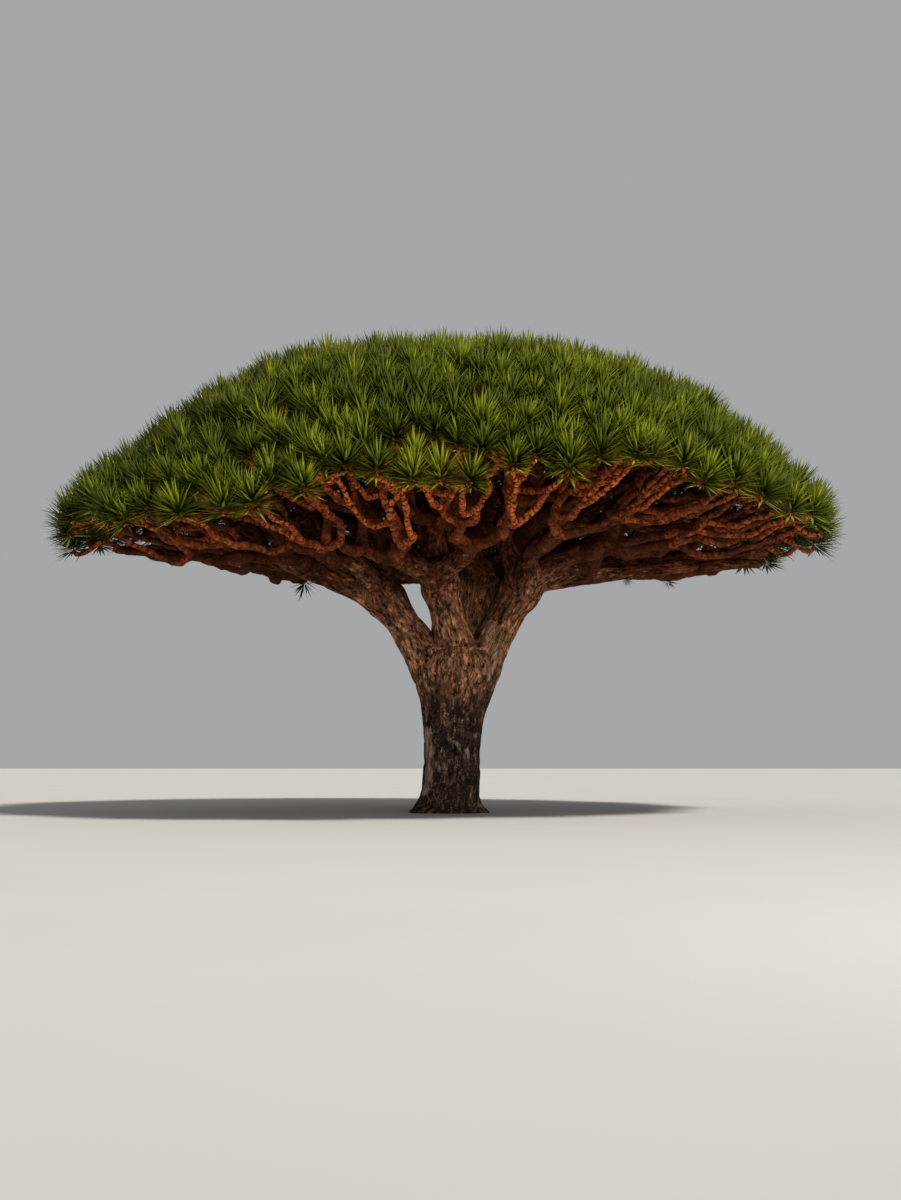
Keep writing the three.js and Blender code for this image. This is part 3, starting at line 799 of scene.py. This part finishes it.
# Twigs
# Past its bough's tip each limb forks in two again and again, each fork a wide U, until a twig as
# thick as a wrist holds one tuft of leaves. The young bark is orange-brown, knobbly and ringed.
GOLDEN_TURN = math.pi * (3 - math.sqrt(5))
TUFTS, TUFT_SWAY = 260, 0.2
ROSETTES, ROSETTE_SWAY, ROSETTE_LIMIT, ROSETTE_LIFT = 940, 0.22, 1.0, 0.08
LEFT_SHIFT, RIGHT_SHIFT = (-0.04, 0, -0.06), (0.07, 0, 0)
SINKS, FAR_RISE = 0.11, 0.3  # tufts at the sides have lower feet, those on the far rim higher ones
HUMPS = (  # low rises and hollows of the crown: across, lift and width
    (-5.5, 0.28, 0.45),
    (-2.6, 0.14, 1.0),
    (0, -0.08, 0.8),
    (4.9, -0.12, 0.7),
)
NEAR_HUMPS = ((-1.1, 0.3, 1.3), (0.6, 0.12, 0.6))  # the same for the near rim alone
FAR_SIDE, NEAR_RIM = 4, 3  # this far out a tuft is wholly far or near, or starts the near rim
FIRST_FORK, EARLY_FORKS, LAST_FORK = 0.39, 0.1, 0.4
NEAR_TURNS_UP, SIDES_TURN_UP = 0.7, 0.1
HIDDEN_END = 0.07  # each twig stops this far below the heart of its tuft
LAYERS = 0.35  # how far some limbs lie above the others of their kind
LIMB_RADIUS, TWIG_RADIUS, TWIG_END, THINS = 0.15, 0.042, 0.039, 0.85
UPRIGHT, LEAN = 1.6, 0.3
THICKER_FAR = 0.4  # the far limbs are thicker by this share, the near ones thinner by half of it
SPLAY = 1.15  # how far aside a twig leaves its fork, against 1 forwards
WANDER = 0.075
BEAD, BEAD_DEPTH = 0.105, 0.19  # the knobbly rings of the young bark
WANDER_LENGTH, KNOB_LENGTH, KNOB_DEPTH = 0.26, 0.12, 0.1
BEAD_SWAY = 0.8
CURVE_REACH = 0.38  # how far a twig holds its first and last direction, as a share of its length
FULL_WANDER = 0.45  # the length of a twig that wanders as much as the longest
STEP, FEWEST_RINGS = 0.04, 6  # from ring to ring of a twig, and how many at least
AGED_THICKER = 0.05  # a limb that is thicker than a twig by this much has old bark
SHADED_SIDES = 0.45  # painted shade: the bark of the sides is darker than that of the near and far twigs
TWIG_SIDES = 8
TWIG_VOXEL, TWIG_SMOOTHING, TWIG_FACES_KEPT = 0.03, 1, 0.5
TUCKED_IN, FIRST_LIMB = 0.16, 0.9  # a first limb starts this far inside its bough, nearly as thick
FINE_HUMPS, COARSE_HUMPS, CRACKS = (0.06, 0.006), (0.17, 0.01), (0.09, 0.005)  # how long and how high
TWIG_CRACK_WIDTH = 0.12

# The area of the crown inside each share of its radius, for spacing tufts evenly over its slope.
CROWN_STEPS = 400
dome = CROWN["top"] - CROWN["rim"]
steps = (np.arange(CROWN_STEPS) + 0.5) / CROWN_STEPS
slopes = dome * CROWN["power"] / CROWN["radius"] * steps ** (CROWN["power"] - 1)
area_inside = np.concatenate(([0], np.cumsum(steps * np.hypot(1, slopes))))


def out_for_area(share):
    ends = np.arange(CROWN_STEPS + 1) / CROWN_STEPS
    return float(np.interp(share * area_inside[-1], area_inside, ends))


def sunflower(count, sway, limit, seed):
    """Places on the crown in a sunflower's order, each a little out of place."""
    found = []
    for i in range(count):
        place = out_for_area((i + 0.5) / count)
        share = sway / CROWN["radius"]
        turn = i * GOLDEN_TURN + (chance(i + seed + 300) - 0.5) * share / place
        out = min(limit, place + (chance(i + seed + 0.5) - 0.5) * share)
        point, facing = crown_at(out, turn)
        found.append({"point": point, "facing": facing, "seed": i + seed})
    return found


def lift_at(across, humps):
    return sum(lift * math.exp(-(((across - middle) / width) ** 2)) for middle, lift, width in humps)


tufts = sunflower(TUFTS, TUFT_SWAY, 1, 0)
rosettes = sunflower(ROSETTES, ROSETTE_SWAY, ROSETTE_LIMIT, 1000)
for mass in masses:
    mass["tufts"] = []
for tuft in tufts:
    tuft["rosettes"] = []
    nearest = min(masses, key=lambda mass: np.linalg.norm(mass["middle"] - tuft["point"]))
    nearest["tufts"].append(tuft)
tuft_points = np.array([tuft["point"] for tuft in tufts])
for rosette in rosettes:
    point, facing, seed = rosette["point"], rosette["facing"], rosette["seed"]
    nearest = np.linalg.norm(tuft_points - point, axis=1).argmin()
    tufts[nearest]["rosettes"].append(rosette)
    lean = np.array([chance(seed + k) - 0.5 for k in (0.1, 0.2, 0.3)])
    rosette["axis"] = unit(facing + np.array((0, 0, UPRIGHT)) + 2 * LEAN * lean)
    farness = np.clip(point[1] / FAR_SIDE, -1, 1)
    nearness = np.clip(-point[1] - NEAR_RIM, 0, 2) / 2
    rise = FAR_RISE * max(0, farness) - SINKS * (1 - abs(farness))
    rise += lift_at(point[0], HUMPS) + nearness * lift_at(point[0], NEAR_HUMPS)
    rightness = np.clip(point[0] / CROWN["radius"], -1, 1)
    shift = abs(rightness) * np.array(RIGHT_SHIFT if rightness > 0 else LEFT_SHIFT)
    lift = ROSETTE_LIFT * (2 * chance(seed + 0.7) - 1)
    rosette["point"] = point + lift * facing + shift + np.array((0, 0, rise))


def twig_path(point, facing):
    """The line from the fork to a point of the crown; it runs low and turns up at its end."""
    hub, shoulder, _, _ = path_to(point, facing)
    rises = SIDES_TURN_UP + (NEAR_TURNS_UP - SIDES_TURN_UP) * np.clip(-point[1] / FAR_SIDE, 0, 1)
    return hub, shoulder, point - LAST_STRETCH * unit(facing + np.array((0, 0, rises))), point


def mean_of(group):
    point = np.mean([each["point"] for each in group], axis=0)
    return point, unit(sum(each["facing"] for each in group))


def halves(group):
    """Splits a group in two across its longest side."""
    points = np.array([each["point"] for each in group])
    longest = ((points - points.mean(0)) ** 2).sum(0).argmax()
    order = np.argsort(points[:, longest], kind="stable")
    middle = math.ceil(len(group) / 2)
    return [group[i] for i in order[:middle]], [group[i] for i in order[middle:]]


def knobbly_limb(start, leaving, end, arriving, thick, thin, seed):
    """A limb that wanders from its start to its end: its line, radii, frames and length so far."""
    length = np.linalg.norm(end - start)
    reach = CURVE_REACH * length
    share = np.linspace(0, 1, max(FEWEST_RINGS, round(length / STEP)))
    line = on_curve((start, start + leaving * reach, end - arriving * reach, end), share[:, None])
    along = share * length

    def unsteady(wave, row, kind):
        still = np.zeros(len(share))
        return rough(np.stack((along / wave, still + row, still), axis=1), kind)

    sway = np.stack([unsteady(WANDER_LENGTH, 7.3 * seed, kind) for kind in (5, 6, 7)], axis=1)
    line = line + WANDER * min(1, length / FULL_WANDER) * (np.sin(np.pi * share) ** 0.7)[:, None] * sway
    knobs = unsteady(KNOB_LENGTH, 3.1 * seed, 9)
    beads = 2 * np.abs(np.sin(math.pi * (along / BEAD + BEAD_SWAY * knobs))) - 1
    radii = (thick + (thin - thick) * share) * (1 + BEAD_DEPTH * beads + KNOB_DEPTH * knobs)
    # Painted shade: twigs out at the left and right sides count as older, so their bark is darker.
    to_left, to_right = -line[:, 0] / 2 - 0.6, line[:, 0] / 3 - 0.23
    aside = np.clip(np.maximum(to_left, to_right), 0, 1)
    return {
        "line": line,
        "radii": radii,
        "frames": np.stack(frames_along(line), axis=1),
        "along": along + 3.7 * (seed % 97),
        "old": np.clip((thick - TWIG_RADIUS) / AGED_THICKER, 0, 1) + SHADED_SIDES * aside,
    }


def grow(limbs, start, leaving, thick, group, share):
    """Twigs from a fork to a group of tufts or rosettes, which bear a share of their mass."""
    if len(group) == 1 and "rosettes" in group[0]:
        grow(limbs, start, leaving, thick, group[0]["rosettes"], share * LAST_FORK)
        return
    if len(group) == 1:
        (rosette,) = group
        end = rosette["point"] - HIDDEN_END * rosette["axis"]
        limbs.append(knobbly_limb(start, leaving, end, rosette["axis"], thick, TWIG_END, rosette["seed"]))
        return
    point, facing = mean_of(group)
    line = twig_path(point, facing)
    late = share / (share + EARLY_FORKS * (1 - share))
    at = 1 - (1 - FIRST_FORK) * late
    seed = len(limbs) + round(1000 * chance(start[0] + start[1]))
    layer = LAYERS * chance(seed) * 4 * late * (1 - late)
    fork, onwards = on_curve(line, at) + np.array((0, 0, layer)), heading(line, at)
    farness = np.clip(fork[1] / FAR_SIDE, -0.5, 1)
    radius = (TWIG_RADIUS + (LIMB_RADIUS - TWIG_RADIUS) * share**THINS) * (1 + THICKER_FAR * farness)
    limbs.append(knobbly_limb(start, leaving, fork, onwards, thick, radius, seed))
    for part in halves(group):
        aside = mean_of(part)[0] - point
        aside = unit(aside - onwards * aside.dot(onwards))
        grow(limbs, fork, unit(onwards + SPLAY * aside), radius, part, share * len(part) / len(group))


def tube(limb, sides):
    """The corners and triangles of a closed limb, for joining to many others."""
    line, radii = limb["line"], limb["radii"]
    across, up, forward = limb["frames"].transpose(1, 0, 2)
    turn = np.arange(sides) * 2 * math.pi / sides
    spokes = np.cos(turn)[None, :, None] * across[:, None] + np.sin(turn)[None, :, None] * up[:, None]
    rings = line[:, None] + radii[:, None, None] * spokes
    ends = np.stack((line[0] - forward[0] * radii[0] * 0.5, line[-1] + forward[-1] * radii[-1] * 0.5))
    here = np.arange(sides)
    after = (here + 1) % sides
    base = (np.arange(len(line) - 1) * sides)[:, None]
    a, b, c, d = base + here, base + after, base + sides + after, base + sides + here
    first_half, second_half = np.stack((a, b, c), -1), np.stack((a, c, d), -1)
    walls = np.concatenate((first_half.reshape(-1, 3), second_half.reshape(-1, 3)))
    last = (len(line) - 1) * sides
    first_end, last_end = len(line) * sides, len(line) * sides + 1
    caps = np.concatenate(
        (
            np.stack((np.full(sides, first_end), after, here), -1),
            np.stack((np.full(sides, last_end), last + here, last + after), -1),
        )
    )
    return np.concatenate((rings.reshape(-1, 3), ends)), np.concatenate((walls, caps))


def joined(name, parts):
    """One mesh from many pairs of corners and triangles."""
    counts = np.cumsum([0] + [len(corners) for corners, _ in parts])
    corners = np.concatenate([corners for corners, _ in parts])
    triangles = np.concatenate([faces + first for (_, faces), first in zip(parts, counts)])
    mesh = bpy.data.meshes.new(name)
    mesh.vertices.add(len(corners))
    mesh.vertices.foreach_set("co", corners.ravel())
    mesh.loops.add(triangles.size)
    mesh.loops.foreach_set("vertex_index", triangles.ravel())
    mesh.polygons.add(len(triangles))
    mesh.polygons.foreach_set("loop_start", np.arange(0, triangles.size, 3))
    mesh.update(calc_edges=True)
    return mesh


# Young bark: orange-brown, darker with age, in rings a finger's length apart with black creases, partly
# the rings' own scars and partly painted shade; the side twigs, hollows and sheltered places get painted
# shade too.
# Each noise has a scale, a detail and a roughness.
YOUNG_COLOUR = (0.8, 0.175, 0.04)
AGED_AND_SHADED_COLOUR = (0.1, 0.025, 0.009)
CREASE_AND_SHADE_COLOUR = (0.016, 0.007, 0.004)
YOUNG_MOTTLE, YOUNG_PATCHES, RING_SWAY = (21, 6, 0.7), (3.1, 4, 0.6), (9, 3, 0.6)
RING_SWAY_TURN = 15  # how far the noise shifts the rings, in radians
twig_paint, shader, tree = make_material("young_bark", 0.85, 0.12)
place = object_place(tree)
rings = height_of(tree, attribute_node(tree, "grain", "Vector"))
turns = math_node(tree, "MULTIPLY", rings, 2 * math.pi / BEAD)
sway = math_node(tree, "MULTIPLY", noise_node(tree, place, *RING_SWAY), RING_SWAY_TURN)
turns = math_node(tree, "ADD", turns, sway)
wave = math_node(tree, "SINE", turns)
mottle = noise_node(tree, place, *YOUNG_MOTTLE)
patches = range_node(tree, noise_node(tree, place, *YOUNG_PATCHES), 0.35, 0.65, -0.35, 0.35)
# The old attribute carries the bark's age and the painted shade of the side twigs.
age_and_shade = math_node(tree, "ADD", attribute_node(tree, "old", "Fac"), patches)
colour = mix_node(tree, range_node(tree, age_and_shade, 0, 1, 0, 1), YOUNG_COLOUR, AGED_AND_SHADED_COLOUR)
colour = toned(tree, colour, range_node(tree, mottle, 0.36, 0.64, 0.4, 1.6))
# The ring creases are darkened partly as the rings' own dark scars and partly as painted shade.
crease_and_shade = range_node(tree, wave, -0.15, -0.9, 0, 0.95)
crease_and_shade = math_node(tree, "MULTIPLY", crease_and_shade, range_node(tree, age_and_shade, 0.2, 1, 1, 0.2))
crease_and_shade = math_node(tree, "MULTIPLY", crease_and_shade, range_node(tree, mottle, 0.62, 0.44, 0.5, 1))
# The crack attribute adds the painted shade of hollows and sheltered places to the real cracks.
dark = math_node(tree, "MAXIMUM", crease_and_shade, attribute_node(tree, "crack", "Fac"))
feed(shader.inputs["Base Color"], mix_node(tree, dark, colour, CREASE_AND_SHADE_COLOUR))
bumps = math_node(tree, "SUBTRACT", mottle, math_node(tree, "MULTIPLY", crease_and_shade, 1.2))
add_bump(tree, shader, bumps, 1, 0.03)

# The crown is made in seven parts: the rim in four quarters, and three sides inside it.
parts_of_crown = {}
for mass in masses:
    x, y, _ = mass["middle"]
    if mass["name"].startswith("rim"):
        side = ("right", "far", "left", "near")[round(math.atan2(y, x) / (math.pi / 2)) % 4]
        parts_of_crown.setdefault(f"rim_{side}", []).append(mass)
    else:
        side = ("right", "left", "near")[math.floor(math.atan2(y, x) / (2 * math.pi / 3)) % 3]
        parts_of_crown.setdefault(f"inner_{side}", []).append(mass)


def solids_of(its_masses):
    return [f"leaves_{mass['name']}" for mass in its_masses]


for part, its_masses in parts_of_crown.items():
    limbs = []
    for mass in its_masses:
        mass["tufts"] = [tuft for tuft in mass["tufts"] if tuft["rosettes"]]
        inside = mass["foot"] - TUCKED_IN * mass["heading"]
        grow(limbs, inside, mass["heading"], FIRST_LIMB * BOUGH["tip"], mass["tufts"], 1)
    mesh = joined("raw_twigs", [tube(limb, TWIG_SIDES) for limb in limbs])
    mesh = one_skin(mesh, TWIG_VOXEL, TWIG_SMOOTHING, TWIG_FACES_KEPT)
    places, normals = places_and_normals(mesh)
    centres, along, old, frames = (
        np.concatenate([limb[key] for limb in limbs]) for key in ("line", "along", "old", "frames")
    )
    finder = KDTree(len(centres))
    for number, centre in enumerate(centres):
        finder.insert(centre, number)
    finder.balance()
    nearest = np.array([finder.find(place)[1] for place in places])
    grain = np.einsum("nij,nj->ni", frames[nearest], places - centres[nearest])
    grain[:, 2] += along[nearest]
    fine = rough(places / FINE_HUMPS[0], 3)
    coarse = rough(places / COARSE_HUMPS[0], 4)
    cracks = np.exp(-((rough(places / CRACKS[0], 6) / TWIG_CRACK_WIDTH) ** 2))
    places += normals * (FINE_HUMPS[1] * fine + COARSE_HUMPS[1] * coarse - CRACKS[1] * cracks)[:, None]
    mesh.vertices.foreach_set("co", places.ravel())
    # Painted shade: places in hollows between twigs, and places that other twigs shelter, are darkened
    # through the crack attribute along with the real cracks.
    cracks = np.maximum(0.45 * cracks, ramp(hollows(mesh, places, normals, 3), 0.0024, 0.0104, 0.95))
    cracks = np.maximum(cracks, ramp(shelter(mesh, places, normals), 0.27, 0.65, 0.97))
    # The old attribute holds age and the painted shade of the side twigs.
    set_attribute(mesh, "old", old[nearest])
    set_attribute(mesh, "crack", cracks)
    set_attribute(mesh, "grain", grain)
    mesh.polygons.foreach_set("use_smooth", [True] * len(mesh.polygons))
    add_piece(f"twigs_{part}", mesh, [twig_paint], solids_of(its_masses))


# Leaves
# Each twig ends in a tuft of about a hundred stiff leaves like short swords, set round it in a
# spiral: the young ones stand up in the middle, the old ones lie flat or droop and turn yellow.
LEAVES = 112
LEAF_LENGTH, LEAF_WIDTH, LEAF_THICKNESS = 0.465, 0.046, 0.008
BEND_AT = 0.4
LOWEST_LEAF = 101  # degrees from the tuft's axis
LOW_LEAF, LOW_SHORTER, DROOPS_FROM = 0.9, 0.2, 1.2  # the lower leaves are shorter, and droop; in radians
TUFT_SIZES, LEAF_SIZES, LEAF_WIDTHS = (0.86, 1.1), (0.84, 1.1), (0.85, 1.15)
TURN_SCATTER, LEAN_SCATTER = 0.12, 0.08
SPIRAL_HEIGHT, SPIRAL_WIDTH = 0.1, 0.03  # the lowest leaves spring this far below and aside of the first
FIRST_LEAF = 0.01  # and the first one this far above the end of the twig
DEEP_BELOW, BRIGHT_ABOVE = 0.3, 0.68  # by the tone of the leaf
OLD_FROM, YELLOW_FROM, DEAD_FROM = 0.3, 0.7, 1.05  # by the age of the leaf
WITHERED_TUFTS = 0.3  # the share of tufts whose oldest leaves are dead
LEAF_FACES = np.array([(0, 1, 2), (0, 2, 3), (0, 3, 1), (1, 4, 2), (2, 4, 3), (3, 4, 1)])
LEAF_COLOURS = (  # of the leaf and of its paler streaks
    ("deep_leaf", (0.022, 0.031, 0.0006), (0.044, 0.056, 0.001)),
    ("green_leaf", (0.056, 0.07, 0.0013), (0.1, 0.112, 0.003)),
    ("bright_leaf", (0.128, 0.15, 0.003), (0.215, 0.23, 0.006)),
    ("yellow_leaf", (0.4, 0.46, 0.02), (0.55, 0.58, 0.04)),
    ("dead_leaf", (0.16, 0.085, 0.035), (0.26, 0.16, 0.08)),
)
LEAF_DRIFT, LEAF_STREAKS = (1.6, 3, 0.6), (24, 3, 0.6)

leaf_look, given, made = make_group(
    "leaf_look", {"Leaf": "Color", "Tip": "Color"}, {"Color": "Color", "Roughness": "Float"}
)
tree = leaf_look
place = object_place(tree)
drift = range_node(tree, noise_node(tree, place, *LEAF_DRIFT), 0.35, 0.65, 0.1, 0.9)
streak = noise_node(tree, place, *LEAF_STREAKS)
share = math_node(tree, "MULTIPLY", drift, streak)
feed(made["Color"], mix_node(tree, share, given["Leaf"], given["Tip"]))
feed(made["Roughness"], range_node(tree, streak, 0.3, 0.7, 0.42, 0.6))

leaf_paints = []
for name, leaf, tip in LEAF_COLOURS:
    material, shader, tree = make_material(name, 0.5, 0.08)
    look = place_group(tree, leaf_look)
    feed(look.inputs["Leaf"], leaf)
    feed(look.inputs["Tip"], tip)
    feed(shader.inputs["Base Color"], look.outputs["Color"])
    feed(shader.inputs["Roughness"], look.outputs["Roughness"])
    leaf_paints.append(material)
DEEP, GREEN, BRIGHT, YELLOW, DEAD = range(5)


def foliage(tips, axes, leaves, scale, rng):
    """Corners, triangles and materials of the leaves of all the rosettes at these tips."""
    count = len(tips)
    ahead = np.cross(axes, (0.2, 0.96, 0.1))
    ahead /= np.linalg.norm(ahead, axis=1)[:, None]
    aside = np.cross(axes, ahead)
    order = (np.arange(leaves) + 0.5) / leaves
    turn = np.arange(leaves)[None] * GOLDEN_TURN + rng.uniform(0, 6.28, (count, 1))
    turn = turn + rng.normal(0, TURN_SCATTER, (count, leaves))
    lean = np.arccos(1 - order * (1 - math.cos(math.radians(LOWEST_LEAF))))[None]
    lean = lean + rng.normal(0, LEAN_SCATTER, (count, leaves))
    size = scale * rng.uniform(*TUFT_SIZES, (count, 1)) * rng.uniform(*LEAF_SIZES, (count, leaves))
    lowness = np.clip((lean - LOW_LEAF) / 0.7, 0, 1)
    length = LEAF_LENGTH * size * (1 - LOW_SHORTER * lowness)
    out = np.cos(turn)[..., None] * ahead[:, None] + np.sin(turn)[..., None] * aside[:, None]
    along = np.sin(lean)[..., None] * out + np.cos(lean)[..., None] * axes[:, None]
    facing = np.cos(lean)[..., None] * -out + np.sin(lean)[..., None] * axes[:, None]
    side = np.cross(along, facing)
    sinks = SPIRAL_HEIGHT * scale * order[None] - FIRST_LEAF
    base = tips[:, None] - axes[:, None] * sinks[..., None]
    base = base + SPIRAL_WIDTH * scale * order[None, :, None] * out
    droop = (np.maximum(0, lean - DROOPS_FROM) * rng.uniform(0, 0.3, (count, leaves)) * length)[..., None]
    down = np.array((0, 0, -1.0))
    width = (scale * LEAF_WIDTH * rng.uniform(*LEAF_WIDTHS, (count, leaves)))[..., None] / 2

    broadest = base + along * (BEND_AT * length)[..., None] + down * droop * 0.3
    tip = base + along * length[..., None] + down * droop
    ridge = broadest - facing * LEAF_THICKNESS
    corners = np.stack((base, broadest + side * width, broadest - side * width, ridge, tip), axis=2)
    corners = corners.reshape(-1, 5, 3)

    # The low tufts and those on the right are brighter, and those far out to either side are darker, as
    # painted shade on the crown's side slopes.
    across, height = tips[:, :1], tips[:, 2:]
    tone = rng.uniform(0, 1, (count, 1)) * 0.4 + rng.uniform(0, 1, (count, leaves)) * 0.6
    tone = tone + 0.3 * np.clip((5 - height) / 0.8, 0, 1) - 0.05 + 0.02 * np.clip(across, -4, 2)
    tone = tone - 0.22 * np.clip(np.abs(across) / 4 - 0.4, 0, 1)
    paint = np.where(tone < DEEP_BELOW, DEEP, np.where(tone < BRIGHT_ABOVE, GREEN, BRIGHT))
    old = np.maximum(0, order[None] - 0.82) / 0.18 + rng.uniform(-0.3, 0.3, (count, leaves))
    # Painted light and shade: old leaves on the near side are bright as if sunlit, the oldest of them
    # yellow, and old leaves elsewhere are deep.
    painted_sunlit = np.clip(-tips[:, 1:2] / 3, 0, 1) > rng.uniform(0, 1, (count, leaves))
    paint = np.where(old > OLD_FROM, np.where(painted_sunlit, BRIGHT, DEEP), paint)
    paint = np.where((old > YELLOW_FROM) & painted_sunlit, YELLOW, paint)
    withered = rng.uniform(0, 1, (count, 1)) < WITHERED_TUFTS
    paint = np.where(withered & (old > DEAD_FROM), DEAD, paint)
    numbers = np.arange(len(corners))[:, None, None] * corners.shape[1] + LEAF_FACES[None]
    return corners.reshape(-1, 3), numbers.reshape(-1, 3), np.repeat(paint.ravel(), len(LEAF_FACES))


rng = np.random.default_rng(11)
for part, its_masses in parts_of_crown.items():
    bearers = [rosette for mass in its_masses for tuft in mass["tufts"] for rosette in tuft["rosettes"]]
    tips, axes = (np.array([each[key] for each in bearers]) for key in ("point", "axis"))
    corners, triangles, paints = foliage(tips, axes, LEAVES, 1, rng)
    mesh = joined("leaves", [(corners, triangles)])
    mesh.polygons.foreach_set("material_index", paints)
    add_piece(f"foliage_{part}", mesh, leaf_paints, solids_of(its_masses))


# Sprouts
# A few short tufts of dark young leaves spring from the underside of the lower limbs. Each is
# made as a tuft of the crown is, with fewer leaves, and hangs where the bark shows lowest.
SPROUTS = ((-2.42, 0.75), (3.05, 0.28), (3.7, 0.34))  # how far across each hangs, and its size
SPROUT_LEAVES = 26
SPROUT_AIM, SPROUTS_ABOVE = 0.08, 3  # how near its width each hangs, and above which height
SPROUT_LEAN = (0.8, -0.3, -0.2)  # outwards, nearer and down from the bark's own direction

sprouts = []
wood = [piece.data for piece in scene.objects if piece.name.startswith(("twigs_", "trunk_"))]
places, normals = (np.concatenate(each) for each in zip(*map(places_and_normals, wood)))
for across, scale in SPROUTS:
    here = np.flatnonzero((np.abs(places[:, 0] - across) < SPROUT_AIM) & (places[:, 2] > SPROUTS_ABOVE))
    seen_from_below = (places[here, 2] - EYE[2]) / (places[here, 1] - EYE[1])
    lowest = here[seen_from_below.argmin()]
    outwards, nearer, down = SPROUT_LEAN
    axis = unit(normals[lowest] + np.array((math.copysign(outwards, across), nearer, down)))
    corners, triangles, _ = foliage(places[lowest][None], axis[None], SPROUT_LEAVES, scale, rng)
    sprouts.append((corners, triangles))
add_piece("sprouts", joined("leaves", sprouts), leaf_paints[:1])
